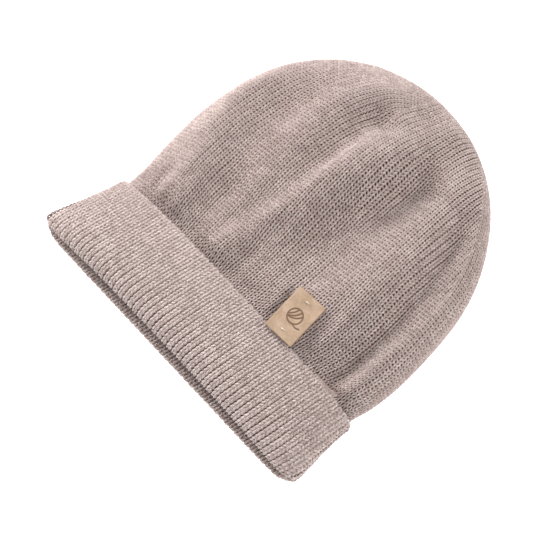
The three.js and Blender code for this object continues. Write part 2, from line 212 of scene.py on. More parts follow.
# Slight unevenness that the solids leave out: small gathers above the cuff and a soft wander.
# height, wavelength, phase
GATHERS = ((0.9, 17.0, 0.3), (0.6, 11.0, 1.9), (0.5, 29.0, 4.1))
GATHER_FADE = 34.0
GATHER_DRIFT = 60.0  # the gathers drift sideways by one radian over this height
# height, wavelength across, wavelength along, phase
WANDER = ((0.45, 46.0, 31.0, 0.7), (0.35, 24.0, 52.0, 2.2), (0.3, 33.0, 19.0, 5.0))


def small_waves(x, y):
    near_cuff = np.exp(-np.maximum(y - CUFF_HEIGHT, 0) / GATHER_FADE)
    height = np.zeros_like(x)
    for tall, wave, phase in GATHERS:
        height += tall * near_cuff * np.sin(2 * np.pi * x / wave + phase + y / GATHER_DRIFT)
    for tall, wave_x, wave_y, phase in WANDER:
        across = np.sin(2 * np.pi * x / wave_x + phase)
        height += tall * across * np.sin(2 * np.pi * y / wave_y + phase)
    return height


def hat_point(around, at, folded=True):
    """Points of the hat's outer face; under the cuff's outer layer where that covers it."""
    angle = angle_at(around, at)
    x, z = section_point(angle, section_parts(at))
    front = np.maximum(0, np.sin(angle))
    side = np.abs(np.cos(angle)) ** RIM_SIDE_POWER
    near_rim = 1 - smooth_step(at / CUFF_HEIGHT)
    setback = (RIM_FRONT_SETBACK * front + RIM_SIDE_SETBACK * side + RIM_SLANT * x) * near_rim
    if folded:
        on_top = smooth_step(front * FRONT_GAIN)
        strength = on_top * smooth_step((closing(at) - TIP_CALM) / TIP_CALM_REACH)
        waves = small_waves(x, at) * smooth_step((at - CUFF_HEIGHT) / RIDGES_BEGIN)
        z = z + strength * (fold_height(x, at) + waves)
    return np.stack([x, at + setback, z], axis=-1)


STEP_AROUND, STEP_ALONG = 0.0015, 0.4  # small steps that slopes are measured over
TIP_MARGIN = 0.05


def unit(v):
    return v / np.maximum(np.linalg.norm(v, axis=-1, keepdims=True), TINY)


def hat_normal(around, at):
    low = np.maximum(0, at - STEP_ALONG)
    high = np.minimum(HAT_LENGTH - TIP_MARGIN, at + STEP_ALONG)
    along = hat_point(around, high) - hat_point(around, low)
    across = hat_point(around + STEP_AROUND, at) - hat_point(around - STEP_AROUND, at)
    return unit(np.cross(along, across))


def off_face(around, at, offset):
    """Points off the hat's outer face in the frame, never below the floor; broadcasts."""
    around, at, offset = np.broadcast_arrays(
        *(np.asarray(v, float) for v in (around, at, offset))
    )
    shape = around.shape
    around, at, offset = around.ravel(), at.ravel(), offset.ravel()
    points = hat_point(around, at) + hat_normal(around, at) * offset[:, None]
    points[:, 2] = np.maximum(0, points[:, 2])
    points -= np.array([CENTRE_X, CENTRE_Y, 0])
    return points.reshape(*shape, 3)


# Meshes


def new_piece(name, points, faces, material, smooth=True):
    mesh = bpy.data.meshes.new(name)
    mesh.from_pydata((np.asarray(points) * MM).tolist(), [], faces)
    mesh.update()
    if smooth:
        mesh.shade_smooth()
    mesh.materials.append(material)
    piece = bpy.data.objects.new(name, mesh)
    bpy.context.scene.collection.objects.link(piece)
    return piece


def ring_faces(rows, columns, joined):
    """Quads over rings of points; the last ring joins the first where joined is true."""
    faces = []
    for r in range(rows if joined else rows - 1):
        here, there = r * columns, ((r + 1) % rows) * columns
        for c in range(columns):
            n = (c + 1) % columns
            faces.append((here + c, here + n, there + n, there + c))
    return faces


def fan_faces(centre, ring_start, columns, outward):
    faces = []
    for c in range(columns):
        n = (c + 1) % columns
        a, b = ring_start + c, ring_start + n
        faces.append((centre, b, a) if outward else (centre, a, b))
    return faces


# Node building


class Wire:
    """A node's output. Arithmetic on wires and numbers adds Math nodes."""

    def __init__(self, maker, socket):
        self.maker = maker
        self.socket = socket

    def math(self, operation, a, b):
        inputs = {0: a, 1: b}
        return self.maker.add("ShaderNodeMath", {"operation": operation}, inputs)

    def __add__(self, other):
        return self.math("ADD", self, other)

    def __sub__(self, other):
        return self.math("SUBTRACT", self, other)

    def __rsub__(self, other):
        return self.math("SUBTRACT", other, self)

    def __mul__(self, other):
        return self.math("MULTIPLY", self, other)

    def __pow__(self, other):
        return self.math("POWER", self, other)


class Maker:
    """Adds nodes to one tree: a node's type, its settings, then its sockets' values or wires."""

    def __init__(self, tree):
        self.tree = tree

    def add(self, kind, settings=None, inputs=None, output=0):
        node = self.tree.nodes.new(kind)
        for name, value in (settings or {}).items():
            if name == "stops":
                self.set_stops(node.color_ramp, value)
            else:
                setattr(node, name, value)
        for key, value in (inputs or {}).items():
            if isinstance(value, Wire):
                self.tree.links.new(value.socket, node.inputs[key])
            else:
                node.inputs[key].default_value = value
        return Wire(self, node.outputs[output]) if len(node.outputs) else node

    @staticmethod
    def set_stops(ramp, stops):
        while len(ramp.elements) > 1:
            ramp.elements.remove(ramp.elements[-1])
        ramp.elements[0].position, ramp.elements[0].color = stops[0]
        for place, colour in stops[1:]:
            ramp.elements.new(place).color = colour


def linear(red, green, blue):
    """A colour as the eye reads it, 0 to 255, in Blender's linear numbers."""
    parts = [v / 255 for v in (red, green, blue)]
    parts = [v / 12.92 if v <= 0.04045 else ((v + 0.055) / 1.055) ** 2.4 for v in parts]
    return (*parts, 1.0)


def new_material(name):
    material = bpy.data.materials.new(name)
    material.use_nodes = True
    material.node_tree.nodes.clear()
    return material, Maker(material.node_tree)


def surface_output(make, shader):
    make.add("ShaderNodeOutputMaterial", inputs={"Surface": shader})


def object_place(make):
    return make.add("ShaderNodeTexCoord", output="Object")


def noise(make, place, scale, detail=2.0, roughness=0.5):
    return make.add(
        "ShaderNodeTexNoise",
        inputs={"Vector": place, "Scale": scale, "Detail": detail, "Roughness": roughness},
        output="Fac",
    )


# The Mix node's sockets for colours, by number, since their names repeat
MIX_FACTOR, MIX_A, MIX_B, MIX_RESULT = 0, 6, 7, 2


def mix_colour(make, factor, a, b, blend="MIX"):
    settings = {"data_type": "RGBA", "blend_type": blend}
    inputs = {MIX_FACTOR: factor, MIX_A: a, MIX_B: b}
    return make.add("ShaderNodeMix", settings, inputs, output=MIX_RESULT)


# The heather's flecks, its broad patches and the fuzz: how many to a metre
FLECK_SCALE, PATCH_SCALE, FUZZ_SCALE = 1150.0, 130.0, 5200.0
# How far the flecks, the stitch and the patches shift the blend of fibres
FLECK_SHARE, STITCH_SHARE, PATCH_SHARE = 1.9, 0.2, 0.05


def knit_material(name, light, middle, dark, painted_shade_tone):
    """Heathered cotton: pale, middle and dark fibres twisted together, each stitch a bit its own.

    The last tone is painted shade: it darkens the colour where the mesh's depth attribute is 1,
    down between the stitches and in the rib grooves.
    """
    material, make = new_material(name)
    place = object_place(make)
    shade = make.add("ShaderNodeAttribute", {"attribute_name": "yarn_shade"}, output="Fac")
    fleck = noise(make, place, FLECK_SCALE, 3.0, 0.6)
    patch = noise(make, place, PATCH_SCALE, 2.0)
    blend = (fleck - 0.5) * FLECK_SHARE + (shade - 0.5) * STITCH_SHARE
    blend = blend + (patch - 0.5) * PATCH_SHARE + 0.5
    stops = [(0.12, dark), (0.5, middle), (0.88, light)]
    heather = make.add("ShaderNodeValToRGB", {"stops": stops}, {"Fac": blend}, output="Color")
    # Painted shade: where the depth attribute is 1 the colour is multiplied by the last tone,
    # darkening the ground between the stitches and in the rib grooves
    depth = make.add("ShaderNodeAttribute", {"attribute_name": "depth"}, output="Fac")
    colour = mix_colour(make, depth, heather, painted_shade_tone, "MULTIPLY")
    fuzz = noise(make, place, FUZZ_SCALE, 2.0, 0.7)
    bump = make.add(
        "ShaderNodeBump",
        inputs={"Strength": 0.35, "Distance": 0.00016, "Height": fuzz},
        output="Normal",
    )
    shader = make.add(
        "ShaderNodeBsdfPrincipled",
        inputs={
            "Base Color": colour,
            "Roughness": 0.92,
            "Specular IOR Level": 0.18,
            "Sheen Weight": 0.2,
            "Sheen Roughness": 0.45,
            "Normal": bump,
        },
        output="BSDF",
    )
    surface_output(make, shader)
    return material


# Pale, middle and dark fibres, and the painted shade that the colour is multiplied by down
# between the stitches and in the rib grooves
PAINTED_SHADE_COLOUR = (0.16, 0.095, 0.07, 1.0)
CROWN_FIBRES = (linear(222, 207, 202), linear(190, 172, 167), linear(152, 132, 127), PAINTED_SHADE_COLOUR)
RIB_FIBRES = (linear(222, 207, 203), linear(188, 171, 166), linear(150, 130, 125), PAINTED_SHADE_COLOUR)

crown_yarn = knit_material("crown yarn", *CROWN_FIBRES)
rib_yarn = knit_material("rib yarn", *RIB_FIBRES)
ground_knit = knit_material("knit ground", *CROWN_FIBRES)


# Yarn stitches

COURSE = 2.2  # along the wale
WALE = 3.15  # across it
RIB_COURSE = 2.1
LEG_SIDES = 4
LEG_POINTS = 4

# The stitch's own sizes. Across is from its middle: a leg's foot, its shoulder and its head.
STITCH_SIZES = {
    "Yarn Radius": 0.49,
    "Foot Across": 0.34,
    "Shoulder Across": 0.79,
    "Head Across": 1.24,
    "Reach": 1.34,
    "Crest": 0.5,
    "Dip": 0.55,
}
RIB_STITCH = {"Yarn Radius": 0.58}
RIM_STITCH = {
    "Yarn Radius": 0.66,
    "Foot Across": 0.27,
    "Shoulder Across": 0.7,
    "Head Across": 1.12,
}
YARN_SWELL = 0.5  # how much thinner a leg is at its ends


def stitch_tree(name):
    """Sets one knit stitch, two crossing yarn legs, on every point of a set of places."""
    tree = bpy.data.node_groups.new(name, "GeometryNodeTree")
    face = tree.interface
    face.new_socket(name="Geometry", in_out="INPUT", socket_type="NodeSocketGeometry")
    identifiers = {}
    for label, value in STITCH_SIZES.items():
        socket = face.new_socket(name=label, in_out="INPUT", socket_type="NodeSocketFloat")
        socket.default_value = value * MM
        identifiers[label] = socket.identifier
    material_socket = face.new_socket(
        name="Yarn", in_out="INPUT", socket_type="NodeSocketMaterial"
    )
    seed_socket = face.new_socket(name="Seed", in_out="INPUT", socket_type="NodeSocketInt")
    face.new_socket(name="Geometry", in_out="OUTPUT", socket_type="NodeSocketGeometry")
    make = Maker(tree)
    entry = tree.nodes.new("NodeGroupInput")

    def given(label):
        return Wire(make, entry.outputs[label])

    def place(x, y, z):
        return make.add("ShaderNodeCombineXYZ", inputs={0: x, 1: y, 2: z})

    reach, dip = given("Reach"), given("Dip")
    path = make.add(
        "GeometryNodeCurveQuadraticBezier",
        inputs={
            "Resolution": LEG_POINTS - 1,
            "Start": place(given("Foot Across"), reach * -1.0, dip * -1.0),
            "Middle": place(given("Shoulder Across"), 0.0, given("Crest") * 2.0 + dip),
            "End": place(given("Head Across"), reach, dip * -1.0),
        },
    )
    factor = make.add("GeometryNodeSplineParameter", output="Factor")
    swell = 1.0 - ((factor - 0.5) * 2.0) ** 2.0 * YARN_SWELL
    thick = make.add("GeometryNodeSetCurveRadius", inputs={"Curve": path, "Radius": swell})
    ring = make.add(
        "GeometryNodeCurvePrimitiveCircle",
        inputs={"Resolution": LEG_SIDES, "Radius": given("Yarn Radius")},
    )
    right_leg = make.add(
        "GeometryNodeCurveToMesh",
        inputs={"Curve": thick, "Profile Curve": ring, "Fill Caps": True},
    )
    mirrored = make.add(
        "GeometryNodeTransform", inputs={"Geometry": right_leg, "Scale": (-1.0, 1.0, 1.0)}
    )
    left_leg = make.add("GeometryNodeFlipFaces", inputs={"Mesh": mirrored})
    join = tree.nodes.new("GeometryNodeJoinGeometry")
    tree.links.new(right_leg.socket, join.inputs[0])
    tree.links.new(left_leg.socket, join.inputs[0])
    stitch = Wire(make, join.outputs[0])

    def kept(label, data_type):
        settings = {"data_type": data_type}
        return make.add(
            "GeometryNodeInputNamedAttribute", settings, {"Name": label}, output="Attribute"
        )

    turn = make.add(
        "FunctionNodeAxesToRotation",
        {"primary_axis": "Z", "secondary_axis": "Y"},
        {0: kept("facing", "FLOAT_VECTOR"), 1: kept("along", "FLOAT_VECTOR")},
    )
    points = make.add("GeometryNodeMeshToPoints", inputs={"Mesh": Wire(make, entry.outputs[0])})
    placed = make.add(
        "GeometryNodeInstanceOnPoints",
        inputs={
            "Points": points,
            "Instance": stitch,
            "Rotation": turn,
            "Scale": kept("stretch", "FLOAT_VECTOR"),
        },
    )
    chance = make.add(
        "FunctionNodeRandomValue",
        {"data_type": "FLOAT"},
        {"Seed": given("Seed")},
        output=1,
    )
    shaded = make.add(
        "GeometryNodeStoreNamedAttribute",
        {"data_type": "FLOAT", "domain": "INSTANCE"},
        {"Geometry": placed, "Name": "yarn_shade", "Value": chance},
    )
    real = make.add("GeometryNodeRealizeInstances", inputs={"Geometry": shaded})
    soft = make.add("GeometryNodeSetShadeSmooth", inputs={"Geometry": real})
    finished = make.add(
        "GeometryNodeSetMaterial", inputs={"Geometry": soft, "Material": given("Yarn")}
    )
    leave = tree.nodes.new("NodeGroupOutput")
    tree.links.new(finished.socket, leave.inputs[0])
    identifiers["Yarn"] = material_socket.identifier
    identifiers["Seed"] = seed_socket.identifier
    return tree, identifiers


knit_stitch, knit_stitch_inputs = stitch_tree("knit stitch")


def number_attribute(mesh, name, values):
    attribute = mesh.attributes.new(name, "FLOAT", "POINT")
    attribute.data.foreach_set("value", np.asarray(values, np.float32).ravel())


def vector_attribute(mesh, name, values):
    attribute = mesh.attributes.new(name, "FLOAT_VECTOR", "POINT")
    attribute.data.foreach_set("vector", np.asarray(values, np.float32).ravel())


def stitches_on(name, places, facing, along, stretch, yarn, seed, sizes=None):
    """A piece of real mesh with one stitch on each place; sizes holds those that differ."""
    mesh = bpy.data.meshes.new(name)
    mesh.from_pydata((places * MM).tolist(), [], [])
    vector_attribute(mesh, "facing", facing)
    vector_attribute(mesh, "along", along)
    vector_attribute(mesh, "stretch", stretch)
    seeds = bpy.data.objects.new(name + "_places", mesh)
    bpy.context.scene.collection.objects.link(seeds)
    modifier = seeds.modifiers.new("stitches", "NODES")
    modifier.node_group = knit_stitch
    modifier[knit_stitch_inputs["Yarn"]] = yarn
    modifier[knit_stitch_inputs["Seed"]] = seed
    for label, value in (sizes or {}).items():
        modifier[knit_stitch_inputs[label]] = value * MM
    graph = bpy.context.evaluated_depsgraph_get()
    made = bpy.data.meshes.new_from_object(seeds.evaluated_get(graph), depsgraph=graph)
    made.name = name
    bpy.data.objects.remove(seeds)
    bpy.data.meshes.remove(mesh)
    piece = bpy.data.objects.new(name, made)
    bpy.context.scene.collection.objects.link(piece)
    return piece


# Crown

CROWN_WALES = 136
# A panel runs between two lines of decreases. Its wales lie along a keel, a share of its width
# from the right line, and are cut off, one after another, at the two lines. name, wales, keel
PANELS = (
    ("crown_panel_front_right", 31, 1.0),
    ("crown_panel_front_left", 37, 0.3),
    ("crown_panel_back_left", 34, 1.0),
    ("crown_panel_back_right", 34, 1.0),
)
FIRST_LINE = 0.052  # where the first line of decreases lies round the hat, from the right side
CUT_OVERLAP = 0.5  # of a wale: how far a cut wale runs on past its line
YARN_SINK = 0.85  # the stitches' middle lies this far below the hat's outer face
GROUND_SINK = 1.4  # and the knit ground's outer face this far
CROWN_WALL = 2.2
UNDER_CUFF = 3.0  # how far the wales run down under the cuff's edge
PANEL_ROWS = (60, 130)  # samples of a wale, below the closing and towards the tip
LAST_STITCH = 0.6  # of a course, left free at a wale's end
HALF_COURSE = COURSE * 0.5
GROUND_COLUMNS = 252
GROUND_OUTER_ROWS = (26, 62)
GROUND_INNER_ROWS = (14, 26)


def section_girth(at):
    at = np.asarray(at, float)
    zeros = np.zeros(len(at))
    return half_lengths(at, zeros)[:, -1] + half_lengths(at, zeros + 1)[:, -1]


full_girth = section_girth(np.array([CLOSING_START]))[0]


def wale_count(at):
    """How many wales go round the crown at a place, not a whole number where they end."""
    share = np.minimum(section_girth(at) / full_girth, 1.0)
    return CROWN_WALES * np.where(at > CLOSING_START, share, 1.0)


def places_to_tip(steps, start):
    """Places along the hat up to its tip, closer together where it closes in."""
    low_steps, tip_steps = steps
    low = np.linspace(start, CLOSING_START, low_steps, endpoint=False)
    turn = np.linspace(0, np.pi / 2, tip_steps, endpoint=False)
    t = np.sin(turn) ** (2 / CLOSING_POWER)
    return np.concatenate([low, CLOSING_START + (HAT_LENGTH - CLOSING_START) * t])


def crown_panel(name, line, wales, keel, seed):
    """line is the panel's left line of decreases, as a share round the hat."""
    samples = places_to_tip(PANEL_ROWS, CUFF_HEIGHT - UNDER_CUFF)
    counts = wale_count(samples)
    right_line = line - wales / CROWN_WALES
    around_list, at_list, next_around, next_at = [], [], [], []
    keel_line = right_line + (line - right_line) * keel
    for i in range(wales):
        around = keel_line + (i + 0.5 - wales * keel) / counts
        points = hat_point(around, samples, folded=False)
        lengths = np.concatenate([[0], np.cumsum(np.linalg.norm(np.diff(points, axis=0), axis=1))])
        steps = np.arange(0, lengths[-1] - COURSE * LAST_STITCH, COURSE)
        at = np.interp(steps, lengths, samples)
        spot = np.interp(steps, lengths, around)
        at_after = np.interp(steps + HALF_COURSE, lengths, samples)
        spot_after = np.interp(steps + HALF_COURSE, lengths, around)
        overlap = CUT_OVERLAP / np.interp(at, samples, counts)
        present = (spot > right_line - overlap) & (spot < line + overlap)
        around_list.append(spot[present])
        at_list.append(at[present])
        next_around.append(spot_after[present])
        next_at.append(at_after[present])
    around, at = np.concatenate(around_list), np.concatenate(at_list)
    ahead = off_face(np.concatenate(next_around), np.concatenate(next_at), -YARN_SINK)
    here = off_face(around, at, -YARN_SINK)
    side = off_face(around + STEP_AROUND, at, -YARN_SINK)
    along = ahead - here
    across = (side - here) / STEP_AROUND / wale_count(at)[:, None]
    facing = unit(np.cross(along, across))
    upright = across - along * ((across * along).sum(1) / (along * along).sum(1))[:, None]
    wide = np.linalg.norm(upright, axis=1) / WALE
    tall = np.linalg.norm(along, axis=1) / HALF_COURSE
    stretch = np.stack([wide, tall, np.ones(len(at))], axis=1)
    return stitches_on(name, here, facing, unit(along), stretch, crown_yarn, seed)


def crown_ground():
    """The crown's closed knit wall, behind its stitches."""
    columns = GROUND_COLUMNS
    outer = places_to_tip(GROUND_OUTER_ROWS, INNER_BAND_END + SEAM_GAP)[::-1]
    inner = places_to_tip(GROUND_INNER_ROWS, INNER_BAND_END + SEAM_GAP)
    around = np.arange(columns) / columns
    rings = [off_face(around, at, -GROUND_SINK) for at in outer]
    rings += [off_face(around, at, -CROWN_WALL) for at in inner]
    points = np.concatenate(rings)
    tip_x = section_value(MIDDLE, np.array([HAT_LENGTH]))[0] - CENTRE_X
    tip_z = section_value(SIDE, np.array([HAT_LENGTH]))[0]
    tip = np.array([tip_x, HAT_LENGTH - CENTRE_Y, tip_z])
    rows = len(rings)
    poles = np.array([tip - [0, GROUND_SINK, 0], tip - [0, CROWN_WALL, 0]])
    faces = ring_faces(rows, columns, False)
    first = rows * columns
    faces += fan_faces(first, 0, columns, True)
    faces += fan_faces(first + 1, (rows - 1) * columns, columns, False)
    piece = new_piece("crown_ground", np.concatenate([points, poles]), faces, ground_knit)
    # Painted shade: the ground's outer face, seen between the stitches, is marked to be darkened
    depth = np.zeros(len(points) + 2)
    depth[: len(outer) * columns] = 1
    number_attribute(piece.data, "depth", depth)
    return piece


crown_pieces = [crown_ground()]
line_place = FIRST_LINE
for number, (panel_name, panel_wales, panel_keel) in enumerate(PANELS):
    line_place += panel_wales / CROWN_WALES
    panel = crown_panel(panel_name, line_place, panel_wales, panel_keel, number + 1)
    crown_pieces.append(panel)


# Cuff

# The band's middle run: how far off the hat's face, how far from the rim, from the cast-on edge
# over the outside, round the fold and up inside
BAND_RUN = np.array(
    [
        (LAYER_GAP + RIB_WALL * 0.72, CUFF_HEIGHT - 0.7),
        (LAYER_GAP + RIB_WALL * 0.96, CUFF_HEIGHT - 2.4),
        (LAYER_GAP + RIB_WALL, CUFF_HEIGHT - 6.0),
        (LAYER_GAP + RIB_WALL, 36.0),
        (LAYER_GAP + RIB_WALL, 24.0),
        (LAYER_GAP + RIB_WALL, 12.0),
        (LAYER_GAP + RIB_WALL * 0.94, 4.6),
        (LAYER_GAP + RIB_WALL * 0.62, 1.3),
        (LAYER_GAP * 0.5, 0.0),
        (-RIB_WALL * 0.75, 1.0),
        (-RIB_WALL, 4.2),
        (-RIB_WALL, 14.0),
        (-RIB_WALL, 26.0),
        (-RIB_WALL, INNER_BAND_END - 0.4),
    ]
)
RUN_CURVE_STEPS = 24  # between two points of the run
RIB_SINK = 0.75  # the ribs' stitches and their ground lie this far below the band's face
RIB_GROUND_SINK = 0.95
RIB_GROUND_COLUMNS = 6  # to a rib
RIB_GROUND_COURSE = 2.6
# The slot between the two layers, where no rib shows: how far from the rim the rings lie
SLOT_OUT = (INNER_BAND_END, 30.0, 18.0, 8.0)
SLOT_BACK = (8.0, 18.0, 30.0, 44.0)
GROOVE_RIM, GROOVE_EDGE = 0.95, 0.35  # how deep the grooves are, at the rim and the cast-on edge
GROOVE_SHADE_RIM, GROOVE_SHADE_EDGE = 0.95, 0.5  # and how dark the shade painted into them is
RIB_TOP_SHARE = 0.55  # of the rib's width
RIB_FILL_RIM, RIB_FILL_EDGE = 0.92, 0.99  # of the rib's width, at the rim and the cast-on edge
SIDE_SHARES = (0.0, 0.5, 1.0)  # where the hat's sides lie round it
SIDE_REACH = 0.07  # the ribs are stretched flat up to here from each side
SIDE_GROOVE = 0.25  # how much of a groove is left there
SIDE_FILL = 1.1  # and how much wider the stitches are
RIB_HEIGHT = 0.85
RIM_ZONE = 17.0  # from the rim: the ribs are drawn in there, and their legs lie close
RIB_JITTER = 0.05
# The chain along the cast-on edge: its stitches, where it runs, how far it leans outward and how
# wide and high its stitches are
EDGE_STITCHES = 200
EDGE_OFF = LAYER_GAP + RIB_WALL * 0.36
EDGE_AT = CUFF_HEIGHT - 0.9
EDGE_LEAN = 0.5
EDGE_WIDE, EDGE_HIGH = 0.62, 0.9


def from_rim(at):
    """0 at the rim and 1 at the cast-on edge."""
    return smooth_step(at / CUFF_HEIGHT)


def from_sides(around):
    """0 at the hat's sides, where the ribs are stretched flat, and 1 past their reach."""
    nearest = np.min([np.abs(around - share) for share in SIDE_SHARES], axis=0)
    return smooth_step(nearest / SIDE_REACH)


def rib_slant(off, at):
    """The ribs slant one way on the outer layer and, past the fold, the other way inside."""
    return np.where(off > 0, -RIB_LEAN, RIB_LEAN) * at / CUFF_HEIGHT


def smooth_run(points, spacing):
    """Evenly spaced places on a smooth curve through the points of the band's run."""
    padded = np.concatenate([[2 * points[0] - points[1]], points, [2 * points[-1] - points[-2]]])
    fine = []
    for a, b, c, d in zip(padded, padded[1:], padded[2:], padded[3:]):
        t = np.linspace(0, 1, RUN_CURVE_STEPS, endpoint=False)[:, None]
        curve = 2 * b + (c - a) * t + (2 * a - 5 * b + 4 * c - d) * t**2
        fine.append(0.5 * (curve + (3 * b - a - 3 * c + d) * t**3))
    fine = np.concatenate(fine + [points[-1:]])
    lengths = np.concatenate([[0], np.cumsum(np.linalg.norm(np.diff(fine, axis=0), axis=1))])
    count = max(2, int(round(lengths[-1] / spacing)) + 1)
    steps = np.linspace(0, lengths[-1], count)
    return np.stack([np.interp(steps, lengths, fine[:, k]) for k in (0, 1)], axis=1)


def off_run(around, run, depth):
    """Points of the band at shares round the hat, a depth below the run's own face."""
    slope = np.gradient(run, axis=0)
    slope /= np.linalg.norm(slope, axis=1, keepdims=True)
    off = run[:, 0] + slope[:, 1] * depth
    at = np.maximum(run[:, 1] - slope[:, 0] * depth, 0)
    slanted = around[None, :] + rib_slant(run[:, 0], run[:, 1])[:, None]
    return off_face(slanted, at[:, None], off[:, None])


def rib_stitches(name, run, seed, sizes):
    around = np.arange(RIB_COUNT) / RIB_COUNT
    here = off_run(around, run, RIB_SINK)
    side = off_run(around + STEP_AROUND, run, RIB_SINK)
    along = np.gradient(here, axis=0)
    across = (side - here) / STEP_AROUND / RIB_COUNT
    facing = unit(np.cross(across, along))
    chance = np.random.default_rng(seed)
    here = here + chance.normal(0, RIB_JITTER, here.shape)
    along = along + chance.normal(0, RIB_JITTER, along.shape)
    fill = RIB_FILL_RIM + (RIB_FILL_EDGE - RIB_FILL_RIM) * from_rim(run[:, 1])[:, None]
    fill = fill * (SIDE_FILL + (1 - SIDE_FILL) * from_sides(around))
    wide = np.linalg.norm(across, axis=-1) * fill / WALE
    tall = np.linalg.norm(along, axis=-1) / COURSE
    stretch = np.stack([wide, tall, np.full_like(wide, RIB_HEIGHT)], axis=-1)
    flat = (here, facing, unit(along), stretch)
    return stitches_on(name, *(v.reshape(-1, 3) for v in flat), rib_yarn, seed, sizes)


def edge_chain():
    """The cast-on edge: a chain of stitches that runs round the hat."""
    around = np.arange(EDGE_STITCHES) / EDGE_STITCHES
    here = off_face(around, EDGE_AT, EDGE_OFF)
    ahead = off_face(around + STEP_AROUND, EDGE_AT, EDGE_OFF)
    along = (ahead - here) / STEP_AROUND / EDGE_STITCHES
    out = unit(off_face(around, EDGE_AT, EDGE_OFF + 1.0) - here)
    facing = unit(unit(np.cross(out, along)) + out * EDGE_LEAN)
    facing = unit(facing - unit(along) * (facing * unit(along)).sum(1)[:, None])
    tall = np.linalg.norm(along, axis=1) / COURSE
    wide, high = np.full(len(here), EDGE_WIDE), np.full(len(here), EDGE_HIGH)
    stretch = np.stack([wide, tall, high], axis=1)
    return stitches_on("cuff_edge_chain", here, facing, unit(along), stretch, rib_yarn, 13)


def cuff_ground():
    """The band's closed knit wall behind its stitches, grooved between the ribs, with shade
    painted into the grooves.
    """
    columns = RIB_COUNT * RIB_GROUND_COLUMNS
    around = np.arange(columns) / columns
    from_crest = np.abs((np.arange(columns) / RIB_GROUND_COLUMNS + 0.5) % 1 - 0.5) * 2
    groove = smooth_step((from_crest - RIB_TOP_SHARE) / (1 - RIB_TOP_SHARE))
    groove *= SIDE_GROOVE + (1 - SIDE_GROOVE) * from_sides(around)
    run = smooth_run(BAND_RUN, RIB_GROUND_COURSE)
    slope = np.gradient(run, axis=0)
    slope /= np.linalg.norm(slope, axis=1, keepdims=True)
    rings, painted_groove_shade = [], []
    for (off, at), (d_off, d_at) in zip(run, slope):
        share = from_rim(at)
        depth = RIB_GROUND_SINK + groove * (GROOVE_RIM + (GROOVE_EDGE - GROOVE_RIM) * share)
        slanted = around + rib_slant(off, at)
        rings.append(off_face(slanted, np.maximum(at - d_off * depth, 0), off + d_at * depth))
        # Painted shade in the grooves between the ribs, darker towards the rim
        painted_groove_shade.append(groove * (GROOVE_SHADE_RIM + (GROOVE_SHADE_EDGE - GROOVE_SHADE_RIM) * share))
    for off, places in ((0.0, SLOT_OUT), (LAYER_GAP, SLOT_BACK)):
        for at in places:
            rings.append(off_face(around, at, off))
            painted_groove_shade.append(np.zeros(columns))
    points = np.concatenate(rings)
    faces = ring_faces(len(rings), columns, True)
    piece = new_piece("cuff_ground", points, faces, ground_knit)
    number_attribute(piece.data, "depth", np.concatenate(painted_groove_shade))
    return piece


full_run = smooth_run(BAND_RUN, RIB_COURSE)
rim_index = int(np.argmin(full_run[:, 1]))
rim_start = int(np.argmax(full_run[:, 1] < RIM_ZONE))
cuff_pieces = [
    cuff_ground(),
    rib_stitches("cuff_ribs_outside", full_run[:rim_start], 11, RIB_STITCH),
    rib_stitches("cuff_ribs_rim", full_run[rim_start : rim_index + 1], 14, RIM_STITCH),
    rib_stitches("cuff_ribs_inside", full_run[rim_index + 1 :], 12, RIB_STITCH),
    edge_chain(),
]


# Leather tag


def leather_material():
    material, make = new_material("tag leather")
    place = object_place(make)
    grain = noise(make, place, 900.0, 5.0, 0.6)
    cloud = noise(make, place, 140.0, 3.0)
    burn = make.add("ShaderNodeAttribute", {"attribute_name": "burn"}, output="Fac")
    tone = (grain - 0.5) * 0.7 + (cloud - 0.5) * 0.9 + 0.5
    stops = [
        (0.2, linear(152, 127, 104)),
        (0.5, linear(172, 146, 122)),
        (0.8, linear(187, 162, 140)),
    ]
    leather = make.add("ShaderNodeValToRGB", {"stops": stops}, {"Fac": tone}, output="Color")
    colour = mix_colour(make, burn, leather, linear(112, 84, 64))
    bump = make.add(
        "ShaderNodeBump",
        inputs={"Strength": 0.4, "Distance": 0.00012, "Height": grain},
        output="Normal",
    )
    shader = make.add(
        "ShaderNodeBsdfPrincipled",
        inputs={
            "Base Color": colour,
            "Roughness": 0.62,
            "Specular IOR Level": 0.35,
            "Normal": bump,
        },
        output="BSDF",
    )
    surface_output(make, shader)
    return material


def thread_material():
    material, make = new_material("tag thread")
    place = object_place(make)
    ply = noise(make, place, 2600.0, 2.0)
    stops = [(0.3, linear(198, 182, 160)), (0.7, linear(226, 214, 194))]
    colour = make.add("ShaderNodeValToRGB", {"stops": stops}, {"Fac": ply}, output="Color")
    bump = make.add(
        "ShaderNodeBump",
        inputs={"Strength": 0.5, "Distance": 0.0001, "Height": ply},
        output="Normal",
    )
    shader = make.add(
        "ShaderNodeBsdfPrincipled",
        inputs={"Base Color": colour, "Roughness": 0.7, "Normal": bump},
        output="BSDF",
    )
    surface_output(make, shader)
    return material


thread = thread_material()
for node_name in ("label_stitch_upper", "label_stitch_lower"):
    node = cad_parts[node_name]
    node.data.materials.clear()
    node.data.materials.append(thread)


def node_points(name):
    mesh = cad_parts[name].data
    points = np.zeros(len(mesh.vertices) * 3)
    mesh.vertices.foreach_get("co", points)
    return np.unique(points.reshape(-1, 3).round(7), axis=0) / MM


def tag_axes():
    """Middle of the tag's solid and its across, along and outward directions."""
    points = node_points("label")
    _, _, axes = np.linalg.svd(points - points.mean(0), full_matrices=False)
    along = axes[0] * np.sign(axes[0][1])
    outward = axes[2] * np.sign(axes[2][2])
    across = np.cross(along, outward)
    reach = [(points - points.mean(0)) @ a for a in (across, along, outward)]
    middle = points.mean(0) + sum(
        a * (r.max() + r.min()) / 2 for a, r in zip((across, along, outward), reach)
    )
    size = [r.max() - r.min() for r in reach]
    return middle, (across, along, outward), size


